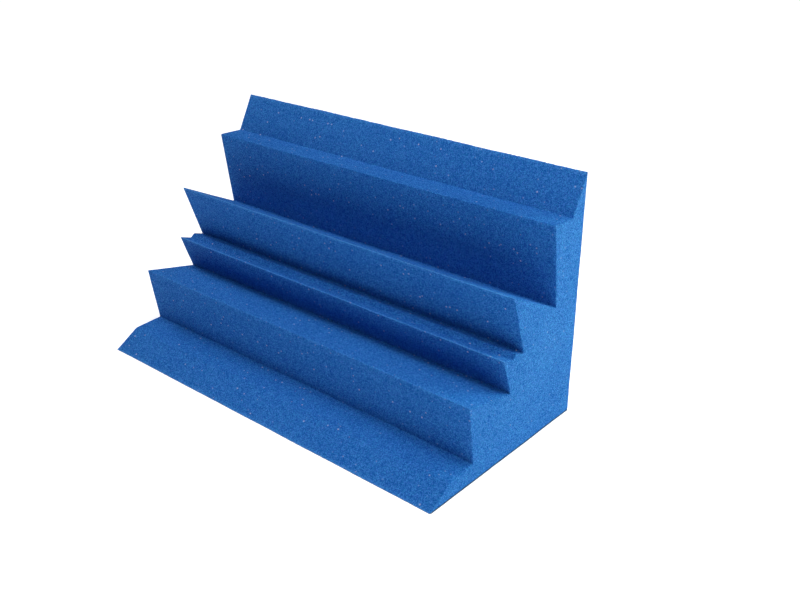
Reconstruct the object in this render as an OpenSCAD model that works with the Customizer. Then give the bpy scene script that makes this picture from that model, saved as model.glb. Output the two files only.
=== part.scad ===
// Profiled foam corner block.
//
// One piece of open-cell foam, cut with a single zig-zag pass from a solid bun and
// extruded along X. Two flat faces meet in a right-angled heel, so that the block
// sits in the corner between two walls. The third side carries the cut ridges.
//
// Frame: +Z up, X along the block, the flat back face looks along +Y and the ridges
// look along -Y. The origin is the middle of the flat bottom face.
//
// Every point of the cut is given by two sizes: "out" is its distance from the back
// face, and "up" is its height above the bottom face. All sizes are in millimetres.

/* [Block] */
// Length of the block along the corner
block_length = 600; // [300:10:1200]
// Height of the flat back face, up to the sharp edge of the top lip
block_height = 331; // [310:1:380]
// Depth of the flat bottom face, out to the sharp edge of the toe
block_depth = 293; // [275:1:340]
// Radius of the worn heel edge, where the two flat faces meet
heel_radius = 3; // [1:0.5:8]

/* [Top lip and shelf] */
// Root of the top lip, where the shelf starts: out
lip_root_out = 26.5; // [15:0.5:40]
// Root of the top lip: up
lip_root_up = 279.5; // [265:0.5:290]
// Front edge of the shelf: out
shelf_out = 65; // [55:0.5:80]
// Front edge of the shelf: up
shelf_up = 281; // [265:0.5:290]

/* [Long fin] */
// Bottom of the deep groove between the shelf and the long fin: out
deep_groove_out = 50; // [35:0.5:55]
// Bottom of the deep groove: up
deep_groove_up = 169; // [155:0.5:185]
// Tip of the long fin: out
long_fin_out = 144.5; // [130:0.5:155]
// Tip of the long fin: up
long_fin_up = 216; // [205:0.5:230]
// Underside root of the long fin: out
long_fin_root_out = 117; // [105:0.5:125]
// Underside root of the long fin: up
long_fin_root_up = 133.5; // [125:0.5:150]

/* [Twin ridge] */
// Small inner ridge: out
inner_ridge_out = 132.5; // [127:0.5:136]
// Small inner ridge: up
inner_ridge_up = 138.5; // [135:0.5:150]
// Notch between the twin ridges: out
notch_out = 139.5; // [137:0.5:145]
// Notch between the twin ridges: up
notch_up = 133.5; // [125:0.5:138]
// Outer ridge: out
outer_ridge_out = 159; // [150:0.5:170]
// Outer ridge: up
outer_ridge_up = 140; // [135:0.5:150]
// Bottom of the groove under the twin ridge: out
twin_groove_out = 141; // [130:0.5:148]
// Bottom of the groove under the twin ridge: up
twin_groove_up = 88; // [75:0.5:100]

/* [Low fin and toe] */
// Tip of the low fin: out
low_fin_out = 223.5; // [210:0.5:235]
// Tip of the low fin: up
low_fin_up = 106.5; // [95:0.5:120]
// Bottom of the groove between the low fin and the toe: out
toe_groove_out = 212; // [200:0.5:220]
// Bottom of the groove between the low fin and the toe: up
toe_groove_up = 25; // [15:0.5:40]
// Bend where the flat top of the toe starts to slope down: out
toe_bend_out = 255.5; // [240:0.5:265]
// Bend of the toe: up
toe_bend_up = 22.5; // [10:0.5:35]

/* [Hidden] */
foam_blue = [0.10, 0.33, 0.66];
heel_facets = 48;

// A point of the section, drawn in Y and Z, from its two sizes
function at(out, up) = [block_depth / 2 - out, up];

// The zig-zag cut, from the edge of the top lip down to the edge of the toe
function cut_line() = [
    at(0, block_height),
    at(lip_root_out, lip_root_up),
    at(shelf_out, shelf_up),
    at(deep_groove_out, deep_groove_up),
    at(long_fin_out, long_fin_up),
    at(long_fin_root_out, long_fin_root_up),
    at(inner_ridge_out, inner_ridge_up),
    at(notch_out, notch_up),
    at(outer_ridge_out, outer_ridge_up),
    at(twin_groove_out, twin_groove_up),
    at(low_fin_out, low_fin_up),
    at(toe_groove_out, toe_groove_up),
    at(toe_bend_out, toe_bend_up),
    at(block_depth, 0)
];

// The heel corner is left out as a square step, which the heel round then fills
function heel_step() = [
    at(heel_radius, 0),
    at(heel_radius, heel_radius),
    at(0, heel_radius)
];

module section() {
    polygon(concat(cut_line(), heel_step()));
    translate(at(heel_radius, heel_radius))
        circle(r = heel_radius, $fn = heel_facets);
}

// Turns a section drawn in Y and Z so that it runs along X, centred on the origin
module along_x(length) {
    rotate([90, 0, 90])
        linear_extrude(height = length, center = true)
            children();
}

module foam_block() {
    color(foam_blue)
        along_x(block_length)
            section();
}

foam_block();
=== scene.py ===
import math
from collections import namedtuple

import bmesh
import bpy
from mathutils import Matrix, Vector, noise
from mathutils.geometry import delaunay_2d_cdt


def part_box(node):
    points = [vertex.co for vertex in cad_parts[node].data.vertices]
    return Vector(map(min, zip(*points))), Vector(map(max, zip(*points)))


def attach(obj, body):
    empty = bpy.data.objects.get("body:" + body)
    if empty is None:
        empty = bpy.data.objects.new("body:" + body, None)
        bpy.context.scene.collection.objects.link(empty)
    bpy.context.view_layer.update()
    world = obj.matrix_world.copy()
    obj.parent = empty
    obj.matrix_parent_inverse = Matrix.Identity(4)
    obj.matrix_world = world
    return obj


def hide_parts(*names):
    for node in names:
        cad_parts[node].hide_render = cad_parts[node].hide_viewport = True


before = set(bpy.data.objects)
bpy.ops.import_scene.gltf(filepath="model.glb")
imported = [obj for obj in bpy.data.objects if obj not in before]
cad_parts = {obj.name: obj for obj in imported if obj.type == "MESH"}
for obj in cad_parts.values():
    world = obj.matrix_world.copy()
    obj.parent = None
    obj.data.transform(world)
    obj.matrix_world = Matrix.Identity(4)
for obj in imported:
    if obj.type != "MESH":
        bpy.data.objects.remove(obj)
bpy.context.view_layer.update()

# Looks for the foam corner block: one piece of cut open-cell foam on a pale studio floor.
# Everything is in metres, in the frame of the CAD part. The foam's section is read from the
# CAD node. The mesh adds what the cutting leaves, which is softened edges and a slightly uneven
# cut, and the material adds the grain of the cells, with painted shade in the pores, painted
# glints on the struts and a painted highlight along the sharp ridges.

MM = 0.001
NODE = "foam_block"
PIECE = "cut_foam_block"
RIDGE_HIGHLIGHT_MASK = "thin"                # point attribute: where the sharp ridges get a painted highlight, from 1 on the ridge to 0

# ---------------------------------------------------------------- shape of the cut foam

RIDGE_RADIUS = 1.1 * MM      # softening of the ridges, lips and outer edges
RIDGE_LOSS = 0.4 * MM        # most that the softening takes off the tip of a sharp ridge
BEND_RADIUS = 12 * MM        # softening of a gentle bend
ROOT_RADIUS = 0.7 * MM       # softening at the bottom of the grooves
END_RADIUS = 0.9 * MM        # softening where the section meets the two ends
LEFT_OVER = 0.15             # least part of a ridge's softening that the end edges leave
ROOM_SHARE = 0.4             # most of a side of the section that a softened corner takes up

SMOOTH_TURN = math.radians(20)     # corners that turn less than this are already round
BEND_TURN = math.radians(40)       # corners that turn less than this are gentle bends
HIGHLIGHT_TURN = math.radians(105)      # ridges that turn more than this begin to get a painted highlight
FULL_HIGHLIGHT_TURN = math.radians(130)  # ridges that turn this much get the full painted highlight
HIGHLIGHT_REACH = 1.5 * MM        # how far a ridge's painted highlight reaches down its sides

ARC_STEPS = 3                # pieces in each softened corner
SUPPORT = 1.0 * MM           # distance of the rows that keep the softening narrow
CUT_ROW = 5.0 * MM           # row spacing on the cut faces
WALL_ROW = 11.0 * MM         # row spacing on the flat back and bottom
COLUMN = 2.0 * MM            # column spacing along the block
END_GRID = 5.0 * MM          # point spacing inside the end faces
END_MARGIN = 0.4             # least distance from those points to the rim, in spacings
SAME_POINT = 0.001 * MM      # CAD corners closer than this are one
SAME_PLANE = 0.01 * MM       # points closer to a plane than this lie on it
FILL_TOLERANCE = 1e-7        # for the triangles of the end faces

WOBBLES = ((70 * MM, 0.50 * MM),    # size and depth of the cut's slow waves,
           (16 * MM, 0.12 * MM),    # of the ripples left by the cutting wire,
           (6 * MM, 0.05 * MM))     # and of its finest marks
WOBBLE_SEED = 7              # without a seed, noise vectors differ from run to run
SETTLED = 15 * MM            # below this height the wobble fades, so that the block rests flat
CRUMBLE_SIZE = 5.0 * MM      # loose cells on the worn edges
CRUMBLE_DEPTH = 0.70 * MM
CRUMBLE_LAYERS = 3
CRUMBLE_FINER = 2.0          # each layer of the crumbling is finer than the last by this factor,
CRUMBLE_FALL = 0.7           # and weaker by that factor to this power

# One line of points along the block: its place in the section, the direction into the foam,
# and from 0 to 1 how strong the painted ridge highlight is there and how worn.
Row = namedtuple("Row", "point inward thin wear")


def turn(a, b):
    """Signed turn from direction a to direction b, in radians, anticlockwise positive."""
    return math.atan2(a.x * b.y - a.y * b.x, a.dot(b))


def section_outline(node):
    """The CAD section as a closed anticlockwise loop of (y, z), read from its +X end."""
    x_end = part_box(node)[1].x
    bm = bmesh.new()
    bm.from_mesh(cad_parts[node].data)
    bmesh.ops.remove_doubles(bm, verts=bm.verts, dist=SAME_POINT)
    end = {f for f in bm.faces if all(abs(v.co.x - x_end) < SAME_PLANE for v in f.verts)}
    rim = {e for e in bm.edges if sum(f in end for f in e.link_faces) == 1}
    edge = min(rim, key=lambda e: e.index)
    start, vert = edge.verts
    loop = [Vector((start.co.y, start.co.z))]
    while vert is not start:
        loop.append(Vector((vert.co.y, vert.co.z)))
        edge = next(e for e in vert.link_edges if e in rim and e is not edge)
        vert = edge.other_vert(vert)
    bm.free()
    area = sum(a.x * b.y - a.y * b.x for a, b in zip(loop, loop[1:] + loop[:1]))
    return loop if area > 0 else loop[::-1]


def softening(angle, room):
    """Radius that a corner is softened by, from its turn and the room beside it."""
    if angle < 0:
        radius = ROOT_RADIUS
    elif angle < BEND_TURN:
        radius = BEND_RADIUS
    else:
        radius = min(RIDGE_RADIUS, RIDGE_LOSS / (1 / math.cos(angle / 2) - 1))
    return min(radius, room / math.tan(abs(angle) / 2))


def corner_rows(before, corner, after, draw):
    """Rows that turn one corner of the section, where the section is drawn in by draw."""
    into = (corner - before).normalized()
    out = (after - corner).normalized()
    angle = turn(into, out)
    inward = Vector((-into.y - out.y, into.x + out.x)).normalized()
    corner = corner + inward * draw / math.cos(angle / 2)
    if abs(angle) < SMOOTH_TURN:
        return [Row(corner, inward, 0.0, 0.0)]
    room = ROOM_SHARE * min((corner - before).length, (after - corner).length)
    radius = softening(angle, room)
    radius = radius + draw if angle < 0 else max(radius - draw, LEFT_OVER * radius)
    side = math.copysign(1.0, angle)
    first = corner - into * radius * math.tan(abs(angle) / 2)
    centre = first + Vector((-into.y, into.x)) * radius * side
    spoke = first - centre
    thin = min(max((angle - HIGHLIGHT_TURN) / (FULL_HIGHLIGHT_TURN - HIGHLIGHT_TURN), 0.0), 1.0)
    wear = 1.0 if angle > BEND_TURN else 0.0
    rows = []
    for step in range(ARC_STEPS + 1):
        a = angle * step / ARC_STEPS
        turned = Vector((spoke.x * math.cos(a) - spoke.y * math.sin(a),
                         spoke.x * math.sin(a) + spoke.y * math.cos(a)))
        rows.append(Row(centre + turned, inward, thin, wear))
    return rows


def corners_of(outline, draw):
    """The rows of each corner of the section in turn."""
    return [corner_rows(outline[i - 1], p, outline[(i + 1) % len(outline)], draw)
            for i, p in enumerate(outline)]


def sides_of(corners):
    """The rows at the two ends of each straight side, which follows the corner of that number."""
    return [(corner[-1], corners[(i + 1) % len(corners)][0]) for i, corner in enumerate(corners)]


def straight_steps(length, spacing):
    """Fractions of the way along a side that get a row, with a support row near both ends."""
    if length < 4 * SUPPORT:
        return [0.5] if length > SUPPORT else []
    lo, hi = SUPPORT / length, 1 - SUPPORT / length
    count = max(1, round(length * (hi - lo) / spacing))
    return [lo + (hi - lo) * i / count for i in range(count + 1)]


def steps_of(outline):
    """The row fractions on each side of the section, wider on the flat back and bottom."""
    y_back = max(p.x for p in outline)
    z_floor = min(p.y for p in outline)
    steps = []
    for start, stop in sides_of(corners_of(outline, 0.0)):
        a, b = start.point, stop.point
        flat = min(a.x, b.x) > y_back - SAME_PLANE or max(a.y, b.y) < z_floor + SAME_PLANE
        steps.append(straight_steps((b - a).length, WALL_ROW if flat else CUT_ROW))
    return steps


def rows_of(outline, steps, draw):
    """All the rows round the section, where it is drawn in by draw."""
    corners = corners_of(outline, draw)
    rows = []
    for corner, (start, stop), fractions in zip(corners, sides_of(corners), steps):
        a, b = start.point, stop.point
        length = (b - a).length
        inward = Vector((a.y - b.y, b.x - a.x)).normalized()
        rows += corner
        for t in fractions:
            thin = max(start.thin * (1 - t * length / HIGHLIGHT_REACH),
                       stop.thin * (1 - (1 - t) * length / HIGHLIGHT_REACH), 0.0)
            rows.append(Row(a.lerp(b, t), inward, thin, 0.0))
    return rows


def columns_of(x_low, x_high):
    """Places along the block, each with how far the section is drawn in there."""
    turns = [math.pi / 2 * i / ARC_STEPS for i in range(ARC_STEPS + 1)]
    ease = [(END_RADIUS * (1 - math.sin(a)), END_RADIUS * (1 - math.cos(a))) for a in turns]
    inner = SUPPORT + END_RADIUS
    count = round((x_high - x_low - 2 * inner) / COLUMN)
    middle = [(x_low + inner + (x_high - x_low - 2 * inner) * i / count, 0.0)
              for i in range(count + 1)]
    low = [(x_low + dx, draw) for dx, draw in reversed(ease)]
    high = [(x_high - dx, draw) for dx, draw in ease]
    return low + middle + high


def points_inside(rim, spacing):
    """Points of a triangular grid inside a rim given as (y, z), clear of the rim itself."""
    z0, z1 = min(p.y for p in rim), max(p.y for p in rim)
    rise = spacing * math.sqrt(3) / 2
    inside = []
    for j in range(int((z1 - z0) / rise)):
        z = z0 + rise * (j + 0.5)
        crossings = []
        for a, b in zip(rim, rim[1:] + rim[:1]):
            if (a.y > z) != (b.y > z):
                crossings.append(a.x + (b.x - a.x) * (z - a.y) / (b.y - a.y))
        crossings.sort()
        for left, right in zip(crossings[::2], crossings[1::2]):
            count = int((right - left) / spacing)
            inside += [Vector((left + (right - left) * (i + 0.5) / count, z))
                       for i in range(count)]
    return [p for p in inside if min((p - q).length for q in rim) > END_MARGIN * spacing]


def end_faces(points, base, size, at_low_x):
    """Fills the end whose rim is size points from base, and adds the points it needs."""
    x = points[base][0]
    rim = [Vector(p[1:]) for p in points[base:base + size]]
    edges = [(i, (i + 1) % size) for i in range(size)]
    verts, _, triangles, *_ = delaunay_2d_cdt(rim + points_inside(rim, END_GRID), edges, [], 1,
                                              FILL_TOLERANCE)
    index = list(range(base, base + size))
    for v in verts[size:]:
        index.append(len(points))
        points.append((x, v.x, v.y))
    return [tuple(index[k] for k in (t if at_low_x else t[::-1])) for t in triangles]


def side_faces(columns, size):
    """The four-sided faces between columns of size points each."""
    faces = []
    for c in range(columns - 1):
        for r in range(size):
            s = (r + 1) % size
            faces.append((c * size + r, c * size + s, (c + 1) * size + s, (c + 1) * size + r))
    return faces


def block_mesh():
    """The foam block as one closed mesh, with each point's painted ridge highlight and way to
    crumble.
    """
    outline = section_outline(NODE)
    steps = steps_of(outline)
    low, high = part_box(NODE)
    middle = (low.x + high.x) / 2
    columns = columns_of(low.x, high.x)
    sections = {draw: rows_of(outline, steps, draw) for _, draw in columns}
    points, thin, crumbles = [], [], []
    for x, draw in columns:
        end_wear = draw / END_RADIUS
        from_end = math.copysign(end_wear, middle - x)
        for row in sections[draw]:
            points.append((x, row.point.x, row.point.y))
            thin.append(row.thin)
            way = Vector((from_end, row.inward.x, row.inward.y)).normalized()
            crumbles.append(way * max(row.wear, end_wear))
    size = len(sections[0.0])
    faces = side_faces(len(columns), size)
    faces += end_faces(points, 0, size, True)
    faces += end_faces(points, (len(columns) - 1) * size, size, False)
    added = len(points) - len(thin)
    thin += [0.0] * added
    crumbles += [Vector((0, 0, 0))] * added
    mesh = bpy.data.meshes.new(PIECE)
    mesh.from_pydata(points, [], faces)
    mesh.validate()
    bm = bmesh.new()
    bm.from_mesh(mesh)
    bmesh.ops.recalc_face_normals(bm, faces=bm.faces)
    bm.to_mesh(mesh)
    bm.free()
    return mesh, thin, crumbles


def uneven_cut(mesh, crumbles):
    """Lets the cut surface wobble in slow waves and fine ripples, and crumbles the worn edges."""
    noise.seed_set(WOBBLE_SEED)
    z_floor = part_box(NODE)[0].z
    for vertex, way in zip(mesh.vertices, crumbles):
        p = vertex.co.copy()
        wobble = Vector((0, 0, 0))
        for size, depth in WOBBLES:
            wobble += noise.noise_vector(p / size) * depth
        wobble.z *= min((p.z - z_floor) / SETTLED, 1.0)
        loose = noise.fractal(p / CRUMBLE_SIZE, CRUMBLE_FALL, CRUMBLE_FINER, CRUMBLE_LAYERS)
        vertex.co = p + wobble + way * CRUMBLE_DEPTH * abs(loose)
    mesh.update()


def make_block():
    """The cut foam, which stands for the CAD node."""
    mesh, thin, crumbles = block_mesh()
    uneven_cut(mesh, crumbles)
    # keeps the painted ridge highlight on the points, for the material
    mesh.attributes.new(RIDGE_HIGHLIGHT_MASK, "FLOAT", "POINT").data.foreach_set("value", thin)
    mesh.shade_smooth()
    mesh.materials.append(foam_material())
    block = bpy.data.objects.new(PIECE, mesh)
    bpy.context.scene.collection.objects.link(block)
    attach(block, "root")
    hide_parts(NODE)


# ---------------------------------------------------------------- a short way to write nodes


class Nodes:
    """The node tree of a material or world. An input called i3 is the one of that number."""

    def __init__(self, owner):
        owner.use_nodes = True
        self.tree = owner.node_tree
        self.tree.nodes.clear()

    def add(self, kind, settings=None, **inputs):
        node = self.tree.nodes.new(kind)
        for key, value in (settings or {}).items():
            setattr(node, key, value)
        for key, value in inputs.items():
            numbered = key[0] == "i" and key[1:].isdigit()
            self.put(node.inputs[int(key[1:]) if numbered else key.replace("_", " ")], value)
        return node

    def put(self, socket, value):
        if isinstance(value, bpy.types.NodeSocket):
            self.tree.links.new(value, socket)
        else:
            socket.default_value = value

    def math(self, operation, a, b=0.0, c=0.0):
        return self.add("ShaderNodeMath", {"operation": operation}, i0=a, i1=b, i2=c).outputs[0]

    def sum(self, base, *terms):
        """base plus, for each (value, middle, weight), weight times (value - middle)."""
        total = base
        for value, middle, weight in terms:
            offset = self.math("SUBTRACT", value, middle)
            total = self.math("ADD", self.math("MULTIPLY", offset, weight), total)
        return total

    def limit(self, value):
        """The value kept between 0 and 1."""
        return self.add("ShaderNodeClamp", Value=value).outputs[0]

    def smooth(self, value, low, high):
        """0 below low, 1 above high, and a smooth step between."""
        node = self.add("ShaderNodeMapRange", {"interpolation_type": "SMOOTHSTEP"},
                        Value=value, From_Min=low, From_Max=high)
        return node.outputs[0]

    def voronoi(self, place, size, feature="F1"):
        """Cells of about the given size."""
        return self.add("ShaderNodeTexVoronoi", {"feature": feature}, Vector=place, Scale=1 / size)

    def clouds(self, place, size, detail):
        """A soft random pattern of about the given size, from 0 to 1."""
        node = self.add("ShaderNodeTexNoise", Vector=place, Scale=1 / size, Detail=detail)
        return node.outputs[0]

    def channels(self, colour):
        """The red, green and blue of a colour."""
        return self.add("ShaderNodeSeparateColor", Color=colour).outputs

    def ramp(self, value, *stops):
        """The colour at value between stops, each given as (place, colour)."""
        node = self.add("ShaderNodeValToRGB", Fac=value)
        elements = node.color_ramp.elements
        while len(elements) < len(stops):
            elements.new(0.5)
        for element, (place, colour) in zip(elements, stops):
            element.position = place
            element.color = colour
        return node.outputs[0]

    def mix(self, amount, a, b, blend="MIX"):
        """Colour a at amount 0, and b blended over it at amount 1."""
        node = self.add("ShaderNodeMix", {"data_type": "RGBA", "blend_type": blend},
                        i0=amount, i6=a, i7=b)
        return node.outputs[2]


# ---------------------------------------------------------------- foam material

CELL = 1.05 * MM             # one cell of the foam
STRUT_END = 0.5 * MM         # broken strut ends between the cells
MOTTLE = 7 * MM              # patches where the cut left the cells more open
DRIFT = 140 * MM             # slow change of the dye through the block
SPECK_SPACING = 10 * MM      # pale specks, spaced about this far apart at random over the foam
SPECK_RADIUS = 1.5 * MM
SPECK_CORE = 0.4             # part of a speck's radius that is evenly pale
SPECK_RARITY = 1.3           # above 1, more of the specks are faint
END_SPECKS = 0.4             # strength of the specks on the ends, against 1 elsewhere
PORE_EDGE = (0.02, 0.22)     # distance from a wall where a pore begins and is full, in cells

MID = 0.5                    # middle of every noise, and the tone of plain foam
CELL_TONE = 0.60             # how much each thing lightens the foam, or darkens it if negative
# painted shade in the pores, which darkens them
PORE_SHADE_TONE = -0.25
PORE_SHARE = 0.55            # about the mean of the pore value, which leaves the tone as it is
# pale struts: partly their own whiter colour, partly painted glints
STRUT_AND_GLINT_TONE = 0.85
MOTTLE_TONE = 0.06
DRIFT_TONE = 0.08
# painted highlight: how much the sharp ridges are lightened, as where light catches a softened
# edge
RIDGE_HIGHLIGHT_TONE = 0.42
END_CONTRAST = 0.25          # how much stronger the grain is on the ends, cut across the cells

# the colour ramp runs from painted shade in the pores, through plain foam, to pale struts with
# painted glints
SHADED_PORE_BLUE = (0.003, 0.046, 0.32, 1)
FOAM_BLUE = (0.0115, 0.137, 0.51, 1)
STRUT_AND_GLINT_BLUE = (0.058, 0.315, 0.79, 1)
VIOLET_TINT = (1.25, 0.88, 1.02, 1)
TEAL_TINT = (0.75, 1.12, 0.98, 1)
SPECK_PALE = (0.44, 0.50, 0.70, 1)

RELIEF = 0.24 * MM           # depth of the cells
PORE_HEIGHT = -1.0
STRUT_HEIGHT = 0.6
FOAM_ROUGHNESS = 0.82
PORE_ROUGHNESS = 0.12        # how much rougher the pores are,
CELL_ROUGHNESS = 0.1         # and how much the cells differ
FOAM_GLINT = 0.12
TONE_GLINT = 0.6             # how much glossier the pale struts are


def foam_material():
    """Cut open-cell foam: a sponge of fine cells, paler on the struts, partly from painted glints,
    and deeper in the pores, with painted shade in them.
    """
    material = bpy.data.materials.new("blue_open_cell_foam")
    n = Nodes(material)
    here = n.add("ShaderNodeTexCoord").outputs
    place = here["Object"]
    facing = n.add("ShaderNodeSeparateXYZ", Vector=here["Normal"])
    across = n.math("ABSOLUTE", facing.outputs["X"])
    # painted highlight along the sharp ridges, read from the mesh
    thin = n.add("ShaderNodeAttribute", {"attribute_name": RIDGE_HIGHLIGHT_MASK}).outputs["Fac"]

    cell_tone, cell_hue, _ = n.channels(n.voronoi(place, CELL).outputs["Color"])
    wall_distance = n.voronoi(place, CELL, "DISTANCE_TO_EDGE").outputs["Distance"]
    pore = n.smooth(wall_distance, *PORE_EDGE)
    struts = n.clouds(place, STRUT_END, detail=1.0)
    # tone: random grain, with painted shade in the pores and painted glints on the struts
    tone = n.sum(MID,
                 (cell_tone, MID, CELL_TONE),
                 (pore, PORE_SHARE, PORE_SHADE_TONE),
                 (struts, MID, STRUT_AND_GLINT_TONE),
                 (n.clouds(place, MOTTLE, detail=2.0), MID, MOTTLE_TONE),
                 (n.clouds(place, DRIFT, detail=1.0), MID, DRIFT_TONE),
                 (thin, 0.0, RIDGE_HIGHLIGHT_TONE))
    contrast = n.math("MULTIPLY_ADD", across, END_CONTRAST, 1.0)
    tone = n.math("MULTIPLY_ADD", n.math("SUBTRACT", tone, MID), contrast, MID)
    colour = n.ramp(tone, (0.0, SHADED_PORE_BLUE), (0.5, FOAM_BLUE), (1.0, STRUT_AND_GLINT_BLUE))
    colour = n.mix(1.0, colour, n.mix(cell_hue, VIOLET_TINT, TEAL_TINT), "MULTIPLY")

    specks = n.voronoi(place, SPECK_SPACING).outputs
    reach = SPECK_RADIUS / SPECK_SPACING
    outside = n.smooth(specks["Distance"], SPECK_CORE * reach, reach)
    chance = n.channels(specks["Color"])[1]
    amount = n.math("MULTIPLY", n.math("SUBTRACT", 1.0, outside),
                    n.math("POWER", chance, SPECK_RARITY))
    shown = n.math("MULTIPLY_ADD", across, END_SPECKS - 1.0, 1.0)
    colour = n.mix(n.math("MULTIPLY", amount, shown), colour, SPECK_PALE)

    height = n.sum(MID, (pore, MID, PORE_HEIGHT), (struts, MID, STRUT_HEIGHT))
    bump = n.add("ShaderNodeBump", Height=height, Strength=1.0, Distance=RELIEF)
    rough = n.sum(FOAM_ROUGHNESS, (pore, MID, PORE_ROUGHNESS), (cell_tone, MID, CELL_ROUGHNESS))
    glint = n.limit(n.sum(FOAM_GLINT, (tone, MID, TONE_GLINT)))
    shader = n.add("ShaderNodeBsdfPrincipled", Base_Color=colour, Roughness=rough,
                   Specular_IOR_Level=glint, Normal=bump.outputs[0])
    n.add("ShaderNodeOutputMaterial", Surface=shader.outputs[0])
    return material


# ---------------------------------------------------------------- floor and backdrop

FLOOR_SIZE = 60.0            # metres
FLOOR_GAP = 0.02 * MM        # below the block, so that the two don't share a plane
FLOOR_PALE = (0.955, 0.945, 0.957, 1)
FLOOR_DULL = (0.935, 0.925, 0.937, 1)
FLOOR_SHADE = (0.04, 0.04, 0.04, 1)
FLOOR_GLOW = (1.0, 0.98, 1.01, 1)
GLOW_STRENGTH = 0.395
SEEN_GLOW = 0.05             # extra glow that only the camera sees, so the far floor stays white
FLOOR_GRAIN = 20 * MM
FLOOR_ROUGHNESS = 0.88
GRAIN_ROUGHNESS = 0.1
CONTACT = 1.5 * MM           # reach of the shade along the line where the block touches the floor
CONTACT_OPEN = (0.75, 1.0)   # how open the floor is where that shade is full, and where it ends
CONTACT_SAMPLES = 8
BACKDROP = (1.0, 1.0, 1.0, 1)


def floor_material():
    """A matt white table top, lit a little from inside, with a narrow shade round the block."""
    material = bpy.data.materials.new("pale_studio_floor")
    n = Nodes(material)
    grain = n.clouds(n.add("ShaderNodeTexCoord").outputs["Object"], FLOOR_GRAIN, detail=3.0)
    pale = n.mix(grain, FLOOR_PALE, FLOOR_DULL)
    open_air = n.add("ShaderNodeAmbientOcclusion", {"samples": CONTACT_SAMPLES}, Distance=CONTACT)
    clear = n.smooth(open_air.outputs["AO"], *CONTACT_OPEN)
    seen = n.add("ShaderNodeLightPath").outputs["Is Camera Ray"]
    glow = n.math("MULTIPLY_ADD", seen, SEEN_GLOW, GLOW_STRENGTH)
    shader = n.add("ShaderNodeBsdfPrincipled", Base_Color=n.mix(clear, FLOOR_SHADE, pale),
                   Roughness=n.sum(FLOOR_ROUGHNESS, (grain, MID, GRAIN_ROUGHNESS)),
                   Emission_Color=FLOOR_GLOW, Emission_Strength=n.math("MULTIPLY", clear, glow))
    n.add("ShaderNodeOutputMaterial", Surface=shader.outputs[0])
    return material


def make_floor():
    """A wide flat floor just under the block."""
    mesh = bpy.data.meshes.new("studio_floor")
    h = FLOOR_SIZE / 2
    mesh.from_pydata([(-h, -h, 0), (h, -h, 0), (h, h, 0), (-h, h, 0)], [], [(0, 1, 2, 3)])
    mesh.materials.append(floor_material())
    floor = bpy.data.objects.new("studio_floor", mesh)
    bpy.context.scene.collection.objects.link(floor)
    floor.location.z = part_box(NODE)[0].z - FLOOR_GAP


def make_backdrop():
    """A white backdrop behind the floor, which the camera sees but which lights nothing."""
    world = bpy.data.worlds.new("studio_air")
    bpy.context.scene.world = world
    n = Nodes(world)
    seen = n.add("ShaderNodeLightPath").outputs["Is Camera Ray"]
    air = n.add("ShaderNodeBackground", Color=BACKDROP, Strength=seen)
    n.add("ShaderNodeOutputWorld", Surface=air.outputs[0])


# ---------------------------------------------------------------- lights and camera

MIDDLE = Vector((0, 0, 0.12))      # point that the lights are aimed at
SUN_DISTANCE = 3.0                 # only places the lamp: a sun is as strong at any distance
SUN_ANGLE = math.radians(35)
SOFTBOX_DISTANCE = 1.3
SOFTBOX_SIZE = 0.6
WHITE = (1, 1, 1)
BACK_TINT = (0.92, 1.20, 0.95)

CAMERA_LENS = 43.46                # mm
CAMERA_TARGET = Vector((86.4, 51.7, 130.0)) * MM
CAMERA_ANGLES = (40.54, 25.52)     # azimuth and elevation, degrees
CAMERA_DISTANCE = 1.2954


def direction(azimuth, elevation):
    """Unit vector from the object towards azimuth and elevation, in degrees."""
    a, e = math.radians(azimuth), math.radians(elevation)
    return Vector((math.sin(a) * math.cos(e), -math.cos(a) * math.cos(e), math.sin(e)))


def aim(obj, target):
    """Turns a light or camera towards target."""
    obj.rotation_mode = "QUATERNION"
    obj.rotation_quaternion = (target - obj.location).to_track_quat("-Z", "Y")


def add_light(name, kind, azimuth, elevation, distance, strength, colour):
    data = bpy.data.lights.new(name, kind)
    data.energy = strength
    data.color = colour
    light = bpy.data.objects.new(name, data)
    bpy.context.scene.collection.objects.link(light)
    light.location = MIDDLE + direction(azimuth, elevation) * distance
    aim(light, MIDDLE)
    return data


def soft_light(name, azimuth, elevation, strength, colour=WHITE):
    """A wide, even light from one side of the studio, strength in W/m2."""
    data = add_light(name, "SUN", azimuth, elevation, SUN_DISTANCE, strength, colour)
    data.angle = SUN_ANGLE


def softbox(name, azimuth, elevation, power, colour=WHITE):
    """A round soft box close to the block, which lights the nearest parts most, power in W."""
    data = add_light(name, "AREA", azimuth, elevation, SOFTBOX_DISTANCE, power, colour)
    data.shape = "DISK"
    data.size = SOFTBOX_SIZE


def make_lights():
    """Soft light from all round, strongest from the left, with soft boxes near the right end."""
    soft_light("key_right", 90, 65, 0.62)
    soft_light("top_right", 40, 70, 0.26)
    soft_light("left_side", -90, 40, 1.45)
    soft_light("back_high", 180, 30, 0.20)
    soft_light("back_right", 135, 15, 0.85, BACK_TINT)
    softbox("near_back", 135, 15, 6.07, BACK_TINT)
    softbox("near_right", 60, 70, 4.8)
    softbox("near_front", 25, 30, 1.7)


def make_camera():
    """The main camera, which looks at the block from the right and above."""
    data = bpy.data.cameras.new("studio_camera")
    data.lens = CAMERA_LENS
    camera = bpy.data.objects.new("studio_camera", data)
    bpy.context.scene.collection.objects.link(camera)
    camera.location = CAMERA_TARGET + direction(*CAMERA_ANGLES) * CAMERA_DISTANCE
    aim(camera, CAMERA_TARGET)
    bpy.context.scene.camera = camera


make_block()
make_floor()
make_backdrop()
make_lights()
make_camera()
bpy.context.scene.view_settings.view_transform = "Standard"
